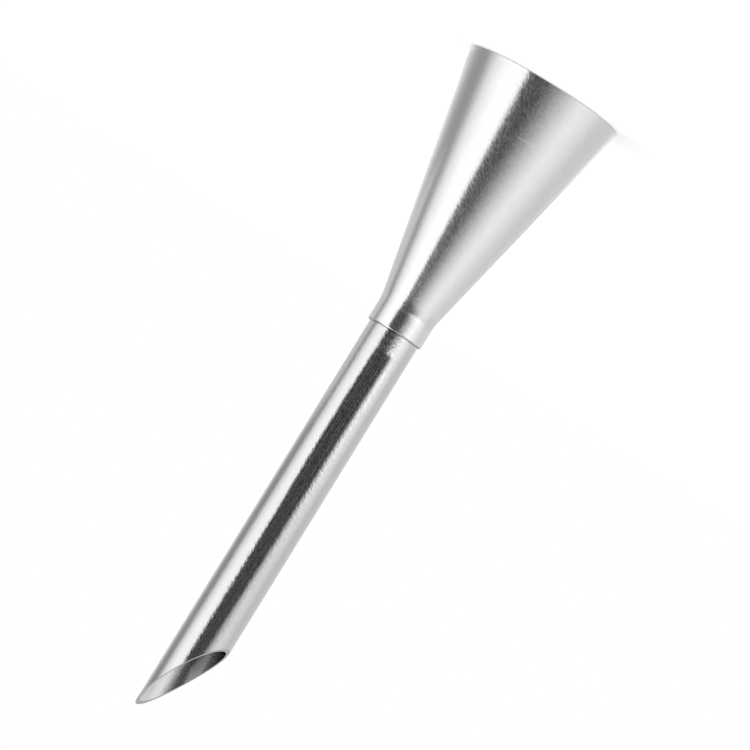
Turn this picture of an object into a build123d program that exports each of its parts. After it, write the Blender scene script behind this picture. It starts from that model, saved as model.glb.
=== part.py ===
from build123d import *
import os
from math import atan, cos, hypot, radians, sin, sqrt, tan

os.makedirs("parts", exist_ok=True)

# Doughnut filling nozzle of stainless steel, in millimetres.
# A thin sheet cone narrows to a short straight collar, and a long thin tube is pressed into the
# collar. The tube's free end is ground to a long bevel, whose point pierces the doughnut.
# The nozzle stands on the rim of its mouth. The origin is the centre of that rim, +Z runs up
# the axis, and the bevel's point is on the +X side.

# Cone and collar, drawn from one sheet
mouth_diameter = 25.0  # outside, at the rim
cone_height = 38.0  # rim to the corner under the collar
collar_length = 3.9  # corner to the collar's end
sheet_wall = 0.42
corner_radius = 10.0  # outside of the soft bend from cone to collar
rim_edge_radius = 0.1  # both edges of the mouth's rim
collar_edge_radius = 0.2  # outer edge of the collar's end
bore_edge_radius = 0.08  # inner edge of the collar's end

# Tube
tube_diameter = 8.05  # outside
tube_wall = 0.35
tube_length = 68.47  # seated end to the point
seat_clearance = 0.0  # around the tube in the collar, which grips it metal to metal

# Bevel at the tube's free end, hollow because a round wheel grinds it
bevel_angle = 30.5  # between the tube's axis and the line from heel to point
wheel_diameter = 200.0

# What follows from the sizes above
mouth_radius = mouth_diameter / 2
tube_radius = tube_diameter / 2
bore_radius = tube_radius + seat_clearance
collar_radius = bore_radius + sheet_wall
collar_end = cone_height + collar_length
half_angle = atan((mouth_radius - collar_radius) / cone_height)
mouth_inner_radius = mouth_radius - sheet_wall / cos(half_angle)
inner_corner = (mouth_inner_radius - bore_radius) / tan(half_angle)
inner_corner_radius = corner_radius + sheet_wall
straight_bore_start = inner_corner + inner_corner_radius * tan(half_angle / 2)


def make_cone():
    """The cone and its collar: one wall section, turned about the axis."""
    section = FilletPolyline(
        (mouth_radius, 0),
        (collar_radius, cone_height),
        (collar_radius, collar_end),
        (bore_radius, collar_end),
        (bore_radius, inner_corner),
        (mouth_inner_radius, 0),
        radius=[
            rim_edge_radius,
            corner_radius,
            collar_edge_radius,
            bore_edge_radius,
            inner_corner_radius,
            rim_edge_radius,
        ],
        close=True,
    )
    return revolve(Plane.XZ * make_face(section), Axis.Z)


def make_tube():
    """The tube, seated down to where the collar's bore stops being straight."""
    ring = Circle(tube_radius) - Circle(tube_radius - tube_wall)
    tube = Pos(0, 0, straight_bore_start) * extrude(ring, tube_length)
    return tube - bevel_wheel(straight_bore_start + tube_length)


def bevel_wheel(point_height):
    """The round wheel that grinds the bevel, through its point (+X) and its heel (-X)."""
    angle = radians(bevel_angle)
    heel_height = point_height - tube_diameter / tan(angle)
    half_chord = hypot(tube_radius, (point_height - heel_height) / 2)
    wheel_radius = wheel_diameter / 2
    reach = sqrt(wheel_radius**2 - half_chord**2)
    centre_x = -reach * cos(angle)
    centre_z = (point_height + heel_height) / 2 + reach * sin(angle)
    return Pos(centre_x, 0, centre_z) * Rot(90, 0, 0) * Cylinder(wheel_radius, 2 * tube_diameter)


for name, piece in {"cone": make_cone(), "tube": make_tube()}.items():
    export_step(piece, f"parts/{name}.step")
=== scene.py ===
from math import cos, hypot, pi, radians, sin, sqrt, tan

import bpy
from mathutils import Matrix, Vector


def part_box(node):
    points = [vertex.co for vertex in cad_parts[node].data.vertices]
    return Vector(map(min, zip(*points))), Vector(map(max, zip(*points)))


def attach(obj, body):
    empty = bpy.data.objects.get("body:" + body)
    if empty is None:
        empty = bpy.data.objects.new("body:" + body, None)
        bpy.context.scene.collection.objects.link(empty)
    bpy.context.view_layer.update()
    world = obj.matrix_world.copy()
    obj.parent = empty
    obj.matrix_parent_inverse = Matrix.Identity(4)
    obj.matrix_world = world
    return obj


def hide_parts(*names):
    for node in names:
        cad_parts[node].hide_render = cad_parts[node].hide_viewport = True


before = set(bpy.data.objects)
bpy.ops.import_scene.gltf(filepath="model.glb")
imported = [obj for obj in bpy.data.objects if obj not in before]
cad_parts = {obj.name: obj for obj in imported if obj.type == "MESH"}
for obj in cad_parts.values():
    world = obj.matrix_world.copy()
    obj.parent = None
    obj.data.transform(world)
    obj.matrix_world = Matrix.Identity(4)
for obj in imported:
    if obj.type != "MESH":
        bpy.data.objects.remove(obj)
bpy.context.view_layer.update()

mm = 0.001
print("frame loaded:", sorted(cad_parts))


# A socket that takes part in plain arithmetic: each operation adds its Math node
class Wire:
    def __init__(self, net, socket):
        self.net = net
        self.socket = socket

    def out(self, key):
        return Wire(self.net, self.socket.node.outputs[key])

    def __add__(self, other):
        return self.net.math("ADD", self, other)

    def __radd__(self, other):
        return self.net.math("ADD", other, self)

    def __sub__(self, other):
        return self.net.math("SUBTRACT", self, other)

    def __rsub__(self, other):
        return self.net.math("SUBTRACT", other, self)

    def __mul__(self, other):
        return self.net.math("MULTIPLY", self, other)

    def __rmul__(self, other):
        return self.net.math("MULTIPLY", other, self)

    def __truediv__(self, other):
        return self.net.math("DIVIDE", self, other)

    def __rtruediv__(self, other):
        return self.net.math("DIVIDE", other, self)

    def __pow__(self, other):
        return self.net.math("POWER", self, other)

    def __mod__(self, other):
        return self.net.math("FLOORED_MODULO", self, other)

    def __lt__(self, other):
        return self.net.math("LESS_THAN", self, other)

    def __gt__(self, other):
        return self.net.math("GREATER_THAN", self, other)


# One node tree, of a shader or of Geometry Nodes
class Net:
    def __init__(self, tree):
        self.tree = tree

    def node(self, kind, settings=None, inputs=None):
        made = self.tree.nodes.new(kind)
        for key, value in (settings or {}).items():
            if key == "items":  # an Index Switch starts with two
                for _ in range(value - 2):
                    made.index_switch_items.new()
            elif key == "captures":
                for name in value:
                    made.capture_items.new("FLOAT", name)
            else:
                setattr(made, key, value)
        for key, value in (inputs or {}).items():
            if isinstance(value, Wire):
                self.tree.links.new(value.socket, made.inputs[key])
            else:
                made.inputs[key].default_value = value
        return Wire(self, made.outputs[0]) if made.outputs else None

    def math(self, operation, *values):
        return self.node("ShaderNodeMath", {"operation": operation}, dict(enumerate(values)))

    def mix(self, factor, first, second):
        return self.node("ShaderNodeMix", {"data_type": "FLOAT"}, {"Factor": factor, 2: first, 3: second})

    def ease(self, value, start, end, before=0.0, after=1.0):
        return self.node(
            "ShaderNodeMapRange",
            {"interpolation_type": "SMOOTHSTEP"},
            {"Value": value, "From Min": start, "From Max": end, "To Min": before, "To Max": after},
        )

    def grey(self, tone):
        return self.node("ShaderNodeCombineColor", None, {0: tone, 1: tone, 2: tone})

    def vector(self, x, y, z):
        return self.node("ShaderNodeCombineXYZ", None, {"X": x, "Y": y, "Z": z})

    def choose(self, index, values):
        inputs = {0: index}
        inputs.update({place + 1: value for place, value in enumerate(values)})
        settings = {"data_type": "FLOAT", "items": len(values)}
        return self.node("GeometryNodeIndexSwitch", settings, inputs)


# Lathe: turns a closed wall section, given by its corners, into a smooth shell round the Z axis
lathe = {
    "segments": 256,  # round the axis
    "arcSteps": 8,  # along each rounded corner of the section
    "rowSpacing": 1.2 * mm,  # along the straight runs
    "softFrom": 1.0 * mm,  # corners rounder than this have no crease beside them
    "mergeDistance": 0.001 * mm,
    "tolerance": 0.001,  # how near a row's number is to a whole one
}


def latheTree(name, sizes, sectionOf, cutOf=None):
    tree = bpy.data.node_groups.new(name, "GeometryNodeTree")
    tree.interface.new_socket("Geometry", in_out="OUTPUT", socket_type="NodeSocketGeometry")
    for key, value in sizes.items():
        socket = tree.interface.new_socket(key, in_out="INPUT", socket_type="NodeSocketFloat")
        socket.default_value = value
        socket.subtype = "DISTANCE"
    tree.interface.new_socket("Finish", in_out="INPUT", socket_type="NodeSocketMaterial")
    net = Net(tree)
    given = net.node("NodeGroupInput")
    size = {key: given.out(key) for key in sizes}

    # the section's corners, joined, rounded, and divided along its straight runs
    corners = sectionOf(size)
    index = net.node("GeometryNodeInputIndex")
    radius, height, rounding = (net.choose(index, column) for column in zip(*corners))
    line = net.node("GeometryNodeMeshLine", None, {"Count": len(corners)})
    outline = net.node(
        "GeometryNodeSetPosition", None, {"Geometry": line, "Position": net.vector(radius, 0, height)}
    )
    outline = net.node("GeometryNodeMeshToCurve", None, {0: outline})
    outline = net.node("GeometryNodeSetSplineCyclic", None, {"Geometry": outline, "Cyclic": True})
    held = net.node(
        "GeometryNodeCaptureAttribute", {"captures": ["Rounding"]}, {0: outline, "Rounding": rounding}
    )
    rounded = net.node(
        "GeometryNodeFilletCurve",
        {"mode": "POLY"},
        {"Curve": held, "Radius": held.out("Rounding"), "Count": lathe["arcSteps"]},
    )
    numbered = net.node(
        "GeometryNodeCaptureAttribute", {"captures": ["Number"]}, {0: rounded, "Number": index}
    )
    here = net.node("GeometryNodeInputPosition")
    nextPoint = net.node("GeometryNodeOffsetPointInCurve", None, {"Offset": 1}).out("Point Index")
    there = net.node(
        "GeometryNodeFieldAtIndex", {"data_type": "FLOAT_VECTOR"}, {"Index": nextPoint, "Value": here}
    )
    run = net.node("ShaderNodeVectorMath", {"operation": "DISTANCE"}, {0: here, 1: there}).out("Value")
    cuts = net.math("FLOOR", run / lathe["rowSpacing"])
    section = net.node("GeometryNodeSubdivideCurve", None, {"Curve": numbered, "Cuts": cuts})

    # a grid with one row for each point of the section, wound round the axis
    rows = net.node("GeometryNodeAttributeDomainSize", {"component": "CURVE"}, {0: section})
    columnCount = lathe["segments"] + 1
    grid = net.node(
        "GeometryNodeMeshGrid",
        None,
        {"Size X": 1.0, "Size Y": 1.0, "Vertices X": columnCount, "Vertices Y": rows + 1},
    )
    row = (index % (rows + 1)) % rows
    column = net.math("FLOOR", (index + 0.5) / (rows + 1))
    turn = column * (2 * pi / lathe["segments"])

    def ofSection(dataType, value):
        return net.node(
            "GeometryNodeSampleIndex", {"data_type": dataType}, {0: section, "Value": value, "Index": row}
        )

    place = net.node("ShaderNodeSeparateXYZ", None, {0: ofSection("FLOAT_VECTOR", here)})
    wound = net.vector(
        place * net.math("COSINE", turn), place * net.math("SINE", turn), place.out("Z")
    )
    shell = net.node("GeometryNodeSetPosition", None, {"Geometry": grid, "Position": wound})

    # creases where a straight wall meets a small rounded edge, so that the wall shades dead straight
    number = ofSection("FLOAT", numbered.out("Number"))
    step = number % (lathe["arcSteps"] + 1)
    near = lathe["tolerance"]
    onPoint = net.math("COMPARE", number, net.math("ROUND", number), near)
    atEnd = net.math("COMPARE", step, 0, near) + net.math("COMPARE", step, lathe["arcSteps"], near)
    sharp = onPoint * atEnd * (ofSection("FLOAT", held.out("Rounding")) < lathe["softFrom"])
    marked = net.node(
        "GeometryNodeCaptureAttribute",
        {"captures": ["Sharp", "Row"]},
        {0: shell, "Sharp": sharp, "Row": row},
    )
    alongRow = net.math("COMPARE", marked.out("Row") % 1, 0, near)
    crease = alongRow * (marked.out("Sharp") > 1 - near)
    smooth = net.node("GeometryNodeSetShadeSmooth", None, {"Geometry": marked, "Shade Smooth": True})
    creased = net.node(
        "GeometryNodeSetShadeSmooth",
        {"domain": "EDGE"},
        {"Geometry": smooth, "Selection": crease, "Shade Smooth": False},
    )
    unwrapped = net.node(
        "GeometryNodeStoreNamedAttribute",
        {"data_type": "FLOAT2", "domain": "CORNER"},
        {"Geometry": creased, "Name": "UVMap", "Value": grid.out("UV Map")},
    )
    closed = net.node(
        "GeometryNodeMergeByDistance", None, {"Geometry": unwrapped, "Distance": lathe["mergeDistance"]}
    )
    if cutOf:
        at = net.node("ShaderNodeSeparateXYZ", None, {0: here})
        bottom, top = size["Seated End"], size["Point Height"]
        share = (cutOf(size, at) - bottom) / (top - bottom)
        cutPlace = net.vector(at, at.out("Y"), bottom + (at.out("Z") - bottom) * share)
        closed = net.node("GeometryNodeSetPosition", None, {"Geometry": closed, "Position": cutPlace})
    real = net.node("GeometryNodeRealizeInstances", None, {"Geometry": closed})
    finished = net.node(
        "GeometryNodeSetMaterial", None, {"Geometry": real, "Material": given.out("Finish")}
    )
    net.node("NodeGroupOutput", None, {0: finished})
    return tree


def turnPiece(name, tree, sizes, finish):
    piece = bpy.data.objects.new(name, bpy.data.meshes.new(name))
    bpy.context.scene.collection.objects.link(piece)
    turned = piece.modifiers.new("lathe", "NODES")
    turned.node_group = tree
    for socket in tree.interface.items_tree:
        if socket.in_out == "INPUT":
            turned[socket.identifier] = finish if socket.name == "Finish" else sizes[socket.name]
    bpy.context.view_layer.update()
    graph = bpy.context.evaluated_depsgraph_get()
    mesh = bpy.data.meshes.new_from_object(
        piece.evaluated_get(graph), preserve_all_data_layers=True, depsgraph=graph
    )
    piece.modifiers.clear()
    piece.data = mesh
    mesh.name = name
    return piece


# Satin stainless steel, its grain finer than the sheet is thick. Duller inside, where no wheel reached
coneSteel = {
    "level": 0.62,
    "roughness": 0.16,
    "grain": 0.28 * mm,
    "grainStretch": 2.0,
    "grainHatch": 24.0,
    "grainRoughness": 0.32,
    "grainDepth": 0.008 * mm,
    "mottle": 1.4 * mm,
    "mottleStretch": 1.5,
    "mottleDepth": 0.006 * mm,
    "mottleTint": 0.06,
    "streak": 1.1 * mm,
    "streakStretch": 5.0,
    "streakRoughness": 0.05,
    "scratchRoughness": 0.2,
    "scratchDepth": 0.0018 * mm,
    "insideLevel": 0.5,
    "insideRoughness": 0.32,
}
tubeSteel = {
    "level": 0.545,
    "roughness": 0.13,
    "grain": 0.3 * mm,
    "grainStretch": 2.0,
    "grainHatch": 22.0,
    "grainRoughness": 0.4,
    "grainDepth": 0.021 * mm,
    "mottle": 1.8 * mm,
    "mottleStretch": 1.5,
    "mottleDepth": 0.001 * mm,
    "mottleTint": 0.06,
    "streak": 0.8 * mm,
    "streakStretch": 9.0,
    "streakRoughness": 0.16,
    "insideLevel": 0.42,
    "insideRoughness": 0.2,
    # painted light inside the bore, rising towards the bevel's point
    "paintedLightTipLevel": 0.6,
    "tipFrom": 97.0 * mm,
    "tipTo": 103.0 * mm,
    # painted shade: a darker strip of colour on the tube just above the collar's end
    "seamShade": 0.5,
    "seamTop": 42.08 * mm,
    "seamWobble": 0.2 * mm,
    "groundDepth": 0.06 * mm,
    "groundLevel": 0.36,
    "groundRoughness": 0.35,
}
# light scratches: where they lie (degrees round the axis, height), their slant, length and width
coneScratches = {
    "longAcross": {
        "turn": -127, "height": 8.95 * mm, "slant": 1, "length": 5.6 * mm, "width": 0.15 * mm,
    },
    "shortAcross": {
        "turn": -119, "height": 36.1 * mm, "slant": 28, "length": 1.7 * mm, "width": 0.1 * mm,
    },
    "crossing": {
        "turn": -115, "height": 35.2 * mm, "slant": -40, "length": 1.1 * mm, "width": 0.08 * mm,
    },
}
noiseRoughness = 0.6  # how much of the finer steps each noise keeps


def steelFinish(name, look, insideRadiusOf, scratches=None, groundOf=None):
    finish = bpy.data.materials.new(name)
    finish.use_nodes = True
    finish.node_tree.nodes.clear()
    net = Net(finish.node_tree)
    place = net.node("ShaderNodeTexCoord").out("Object")
    axes = net.node("ShaderNodeSeparateXYZ", None, {0: place})
    x, y, z = axes, axes.out("Y"), axes.out("Z")
    radius = (x * x + y * y) ** 0.5
    around = net.math("ARCTAN2", y, x) * radius
    inside = radius < insideRadiusOf(net, z)

    def noise(size, stretch, detail, hatch=0.0):
        across = around * cos(radians(hatch)) + z * sin(radians(hatch))
        along = z * cos(radians(hatch)) - around * sin(radians(hatch))
        spot = net.vector(across / size, along / (size * stretch), radius / size)
        return net.node(
            "ShaderNodeTexNoise",
            None,
            {"Vector": spot, "Scale": 1.0, "Detail": detail, "Roughness": noiseRoughness},
        )

    grain = noise(look["grain"], look["grainStretch"], 2.0, look["grainHatch"])
    mottle = noise(look["mottle"], look["mottleStretch"], 1.0)
    streak = noise(look["streak"], look["streakStretch"], 1.0)
    roughness = (
        look["roughness"]
        + (grain - 0.5) * look["grainRoughness"]
        + (streak - 0.5) * look["streakRoughness"]
    )
    height = (grain - 0.5) * look["grainDepth"] + (mottle - 0.5) * look["mottleDepth"]
    for scratch in (scratches or {}).values():
        turn, slant = radians(scratch["turn"]), radians(scratch["slant"])
        aside = y * cos(turn) - x * sin(turn)
        up = z - scratch["height"]
        facing = (x * cos(turn) + y * sin(turn)) > 0
        along = aside * cos(slant) + up * sin(slant)
        off = up * cos(slant) - aside * sin(slant)
        depth = 1 - (off / scratch["width"]) ** 2 - (along / (scratch["length"] / 2)) ** 2
        mark = facing * net.math("MAXIMUM", depth, 0.0)
        roughness = roughness + mark * look["scratchRoughness"]
        height = height - mark * look["scratchDepth"]
    roughness = net.mix(inside, roughness, look["insideRoughness"])
    insideLevel = look["insideLevel"]
    if "paintedLightTipLevel" in look:  # painted light: the bore's colour brightens towards the bevel's point, where light comes in through the opening
        insideLevel = net.ease(z, look["tipFrom"], look["tipTo"], look["insideLevel"], look["paintedLightTipLevel"])
    tint = net.mix(inside, look["level"], insideLevel) * (1 + (mottle - 0.5) * look["mottleTint"])
    if groundOf:
        ground = groundOf(x, z)
        tint = net.mix(ground, tint, look["groundLevel"])
        roughness = net.mix(ground, roughness, look["groundRoughness"])
    if "seamTop" in look:  # painted shade: the thin dark line where the tube leaves the collar, standing in for the collar end's shade and its reflection in the tube
        seam = (z < look["seamTop"] + (grain - 0.5) * look["seamWobble"]) * (1 - inside)
        tint = tint * (1 - seam * (1 - look["seamShade"]))
    bump = net.node("ShaderNodeBump", None, {"Height": height, "Strength": 1.0, "Distance": 1.0})
    steel = net.node(
        "ShaderNodeBsdfPrincipled",
        None,
        {
            "Base Color": net.grey(tint),
            "Metallic": 1.0,
            "Roughness": roughness,
            "Normal": bump,
        },
    )
    net.node("ShaderNodeOutputMaterial", None, {"Surface": steel})
    return finish


# Cone and collar: one piece of sheet, its sizes as on the drawing
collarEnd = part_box("cone")[1].z
tubeLow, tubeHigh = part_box("tube")
tubeRadius = tubeHigh.x
coneSizes = {
    "Mouth Radius": 12.5 * mm,
    "Cone Height": 38.0 * mm,
    "Collar End": collarEnd,
    "Bore Radius": tubeRadius,
    "Sheet Wall": 0.42 * mm,
    "Corner Round": 10.0 * mm,
    "Rim Round": 0.1 * mm,
    "Collar Edge Round": 0.2 * mm,
    "Bore Edge Round": 0.08 * mm,
}


def coneSection(size):
    mouth, height, wall = size["Mouth Radius"], size["Cone Height"], size["Sheet Wall"]
    bore, end = size["Bore Radius"], size["Collar End"]
    collar = bore + wall
    slope = (mouth - collar) / height
    mouthInside = mouth - wall * (1 + slope * slope) ** 0.5
    cornerInside = (mouthInside - bore) / slope
    return [
        (mouth, 0, size["Rim Round"]),
        (collar, height, size["Corner Round"]),
        (collar, end, size["Collar Edge Round"]),
        (bore, end, size["Bore Edge Round"]),
        (bore, cornerInside, size["Corner Round"] + wall),
        (mouthInside, 0, size["Rim Round"]),
    ]


def middleOfConeWall(net, z):
    mouth, collar = coneSizes["Mouth Radius"], tubeRadius + coneSizes["Sheet Wall"]
    slope = (mouth - collar) / coneSizes["Cone Height"]
    return net.math("MAXIMUM", mouth - z * slope, collar) - coneSizes["Sheet Wall"] / 2


coneTree = latheTree("coneLathe", coneSizes, coneSection)
coneFinish = steelFinish("satinConeSteel", coneSteel, middleOfConeWall, coneScratches)
cone = turnPiece("coneShell", coneTree, coneSizes, coneFinish)
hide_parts("cone")
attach(cone, "root")
print("cone turned:", len(cone.data.polygons), "faces")

# Tube, with its end ground to a hollow bevel by a round wheel
bevel = {"angle": 30.5, "wheelRadius": 100.0 * mm}  # the angle is to the axis, in degrees
pointHeight = tubeHigh.z
heelHeight = pointHeight - 2 * tubeRadius / tan(radians(bevel["angle"]))
halfChord = hypot(tubeRadius, (pointHeight - heelHeight) / 2)
wheelReach = sqrt(bevel["wheelRadius"] ** 2 - halfChord**2)
tubeSizes = {
    "Tube Radius": tubeRadius,
    "Tube Wall": 0.35 * mm,
    "Seated End": tubeLow.z,
    "Point Height": pointHeight,
    "Edge Round": 0.04 * mm,
    "Wheel Radius": bevel["wheelRadius"],
    "Wheel Centre X": -wheelReach * cos(radians(bevel["angle"])),
    "Wheel Centre Z": (pointHeight + heelHeight) / 2 + wheelReach * sin(radians(bevel["angle"])),
}


def tubeSection(size):
    outside, inside = size["Tube Radius"], size["Tube Radius"] - size["Tube Wall"]
    bottom, top, rounding = size["Seated End"], size["Point Height"], size["Edge Round"]
    return [
        (outside, bottom, rounding),
        (outside, top, rounding),
        (inside, top, rounding),
        (inside, bottom, rounding),
    ]


def bevelHeight(size, x):
    across = x - size["Wheel Centre X"]
    return size["Wheel Centre Z"] - (size["Wheel Radius"] ** 2 - across * across) ** 0.5


def middleOfTubeWall(net, z):
    return tubeRadius - tubeSizes["Tube Wall"] / 2


def groundByWheel(x, z):
    return z > bevelHeight(tubeSizes, x) - tubeSteel["groundDepth"]


tubeTree = latheTree("tubeLathe", tubeSizes, tubeSection, bevelHeight)
tubeFinish = steelFinish("satinTubeSteel", tubeSteel, middleOfTubeWall, groundOf=groundByWheel)
tube = turnPiece("tubeShell", tubeTree, tubeSizes, tubeFinish)
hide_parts("tube")
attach(tube, "root")
print("tube turned:", len(tube.data.polygons), "faces")

# Camera, at the photograph's angle: it looks along the nozzle's side, rolled so the point hangs down
photo = {
    "azimuth": -24.0,
    "elevation": 3.066,
    "roll": -148.38,
    "distance": 817.3 * mm,
    "aim": Vector((-0.74, 0.33, 48.53)) * mm,
    "lens": 269.05,
    "sensor": 36.0,
}
azimuth, elevation, roll = (radians(photo[key]) for key in ("azimuth", "elevation", "roll"))
back = Vector((sin(azimuth) * cos(elevation), -cos(azimuth) * cos(elevation), sin(elevation)))
levelRight = Vector((0, 0, 1)).cross(back).normalized()
levelUp = back.cross(levelRight)
right = cos(roll) * levelRight + sin(roll) * levelUp
camera = bpy.data.objects.new("photoCamera", bpy.data.cameras.new("photoCamera"))
bpy.context.scene.collection.objects.link(camera)
camera.data.lens = photo["lens"]
camera.data.sensor_width = photo["sensor"]
camera.matrix_world = Matrix.Translation(photo["aim"] + photo["distance"] * back) @ Matrix(
    (right, back.cross(right), back)
).transposed().to_4x4()
bpy.context.scene.camera = camera
print("camera set:", photo["azimuth"], photo["elevation"])

# Studio: a white room, a pale floor, one lamp overhead, and cards that only the metal's reflections see
studio = {
    "room": 1.0,
    "floor": 0.88,
    "floorRadius": 0.6,
    "floorSides": 96,
    "cardColumns": 48,
    "lampPower": 3.7,
    "lampSize": 1.0,
    "lampPlace": Vector((0.1, -0.15, 1.1)),
}
# Each card is a strip of a cylinder about the axis. Its sides are angles in degrees from the camera's own
# direction, positive towards the bevel's point, reach is its distance from the axis, and lean is how far
# its sides have moved at the top. soft is how many degrees its sides take to fade, and fade is the same
# for its bottom and top. An apron runs in over the floor to that distance from the axis. Heights and
# distances are in metres here.
cards = {
    "keyBox": {
        "side": (10, 102), "height": (0.0004, 0.9), "reach": 0.66, "apron": 0.03,
        "level": 1.64, "soft": (4, 49),
    },
    "greyFlag": {
        "side": (81, 165), "height": (0.0006, 0.9), "reach": 0.64, "apron": 0.03,
        "level": 0.45, "soft": (26, 50),
    },
    "sideGlow": {
        "side": (99, 172), "height": (0.024, 0.058), "reach": 0.1,
        "level": 0.85, "soft": (20, 10), "fade": (0.01, 0.01),
    },
    "lowFill": {
        "side": (-112, -34), "height": (0.0007, 0.09), "reach": 0.65, "apron": 0.03,
        "level": 1.55, "soft": (60, 4), "fade": (0, 0.08),
    },
    "highFill": {
        "side": (-112, 10), "height": (0.08, 0.9), "reach": 0.65,
        "level": 1.32, "soft": (60, 4), "fade": (0.025, 0),
    },
    "coneFlag": {
        "side": (-76, 35.9), "lean": (90, -22), "height": (0.1, 0.5), "reach": 0.59,
        "level": 0.055, "soft": (82, 5), "fade": (0.06, 0.33),
    },
    "collarFlag": {
        "side": (-64, 38.6), "lean": (0, -9), "height": (0.001, 0.17), "reach": 0.6, "apron": 0.03,
        "level": 0.05, "soft": (60, 11), "fade": (0, 0.06),
    },
    "seamGlow": {
        "side": (-70, 1), "height": (0.0225, 0.06), "reach": 0.3,
        "level": 1.9, "soft": (16, 38), "fade": (0.006, 0.02),
    },
    "seamShade": {
        "side": (-40, 32.5), "height": (0.0225, 0.06), "reach": 0.31,
        "level": 0.24, "soft": (14, 10), "fade": (0.01, 0),
    },
    "tubeFlag": {
        # the height of each row, and its two sides
        "rows": [
            (0.04506, -48.0, 31.9),
            (0.053, -46.0, 33.0),
            (0.061, -43.8, 33.2),
            (0.067, -41.0, 31.6),
            (0.073, -37.8, 28.0),
            (0.082, -33.5, 24.5),
            (0.094, -26.5, 20.0),
            (0.125, -10.0, 12.0),
        ],
        "reach": 0.01, "level": 0.1, "soft": (22, 9),
        "stripes": {3.0: 0.15, 8.3: 0.85},  # how many there are across, and how strong
    },
    "shadeFlag": {
        "side": (-178, -80), "height": (-0.4, 0.13), "reach": 0.62,
        "level": 0.9, "soft": (20, 26), "fade": (0, 0.03),
    },
    "backFlag": {
        "side": (164, 198), "height": (0.0009, 0.9), "reach": 0.61, "apron": 0.03,
        "level": 0.12, "soft": (12, 8),
    },
}

world = bpy.data.worlds.new("whiteRoom")
world.use_nodes = True
world.node_tree.nodes["Background"].inputs["Color"].default_value = (1, 1, 1, 1)
world.node_tree.nodes["Background"].inputs["Strength"].default_value = studio["room"]
bpy.context.scene.world = world


def flatMaterial(name):
    material = bpy.data.materials.new(name)
    material.use_nodes = True
    material.node_tree.nodes.clear()
    return material, Net(material.node_tree)


def makeFloor():
    mesh = bpy.data.meshes.new("paleFloor")
    radius, count = studio["floorRadius"], studio["floorSides"]
    turns = [2 * pi * i / count for i in range(count)]
    rim = [(radius * cos(turn), radius * sin(turn), 0) for turn in turns]
    mesh.from_pydata(rim, [], [list(range(count))])
    floor = bpy.data.objects.new("paleFloor", mesh)
    bpy.context.scene.collection.objects.link(floor)
    material, net = flatMaterial("paleFloor")
    tone = studio["floor"]
    matt = net.node("ShaderNodeBsdfDiffuse", None, {"Color": (tone, tone, tone, 1)})
    net.node("ShaderNodeOutputMaterial", None, {"Surface": matt})
    mesh.materials.append(material)


def makeCard(name, card):
    if "rows" in card:
        rows = [(card["reach"], *row) for row in card["rows"]]
    else:
        (first, last), (low, high), lean = card["side"], card["height"], card.get("lean", (0, 0))
        rows = [(card["reach"], low, first, last), (card["reach"], high, first + lean[0], last + lean[1])]
        if "apron" in card:
            rows.insert(0, (card["apron"], low, first, last))
    low, high, width = rows[0][1], rows[-1][1], rows[0][3] - rows[0][2]
    fade = card.get("fade", (0, 0))
    count = studio["cardColumns"]
    cameraSide = azimuth - pi / 2
    points, marks = [], []
    for i in range(count + 1):
        for reach, height, first, last in rows:
            turn = cameraSide + radians(first + (last - first) * i / count)
            points.append((reach * cos(turn), reach * sin(turn), height))
            marks.append((i / count, height))
    each = len(rows)
    faces = [
        (each * i + j, each * (i + 1) + j, each * (i + 1) + j + 1, each * i + j + 1)
        for i in range(count)
        for j in range(each - 1)
    ]
    mesh = bpy.data.meshes.new(name)
    mesh.from_pydata(points, [], faces)
    uv = mesh.uv_layers.new(name="UVMap")
    for loop in mesh.loops:
        uv.data[loop.index].uv = marks[loop.vertex_index]
    made = bpy.data.objects.new(name, mesh)
    bpy.context.scene.collection.objects.link(made)
    material, net = flatMaterial(name)
    across = net.node("ShaderNodeSeparateXYZ", None, {0: net.node("ShaderNodeTexCoord").out("UV")})
    up = across.out("Y")
    softFirst, softLast = (angle / width for angle in card["soft"])
    mask = net.ease(across, 0, softFirst) * net.ease(1 - across, 0, softLast)
    if fade[0]:
        mask = mask * net.ease(up - low, 0, fade[0])
    if fade[1]:
        mask = mask * net.ease(high - up, 0, fade[1])
    colour = (1, 1, 1, 1)
    if "stripes" in card:
        wave = 1
        for times, strength in card["stripes"].items():
            wave = wave * (1 + strength * net.math("SINE", across * (2 * pi * times)))
        colour = net.grey(wave)
    glow = net.node("ShaderNodeEmission", None, {"Color": colour, "Strength": card["level"]})
    clear = net.node("ShaderNodeBsdfTransparent")
    mixed = net.node("ShaderNodeMixShader", None, {0: mask, 1: clear, 2: glow})
    net.node("ShaderNodeOutputMaterial", None, {"Surface": mixed})
    material.cycles.emission_sampling = "NONE"
    mesh.materials.append(material)
    made.visible_camera = made.visible_diffuse = made.visible_shadow = False
    made.visible_transmission = made.visible_volume_scatter = False


makeFloor()
for name, card in cards.items():
    makeCard(name, card)

lamp = bpy.data.objects.new("overheadLamp", bpy.data.lights.new("overheadLamp", "AREA"))
lamp.data.energy = studio["lampPower"]
lamp.data.shape = "DISK"
lamp.data.size = studio["lampSize"]
lamp.location = studio["lampPlace"]
lamp.rotation_euler = studio["lampPlace"].normalized().to_track_quat("Z", "Y").to_euler()
bpy.context.scene.collection.objects.link(lamp)
bpy.context.scene.view_settings.view_transform = "Standard"
print("studio lit:", len(cards), "cards")
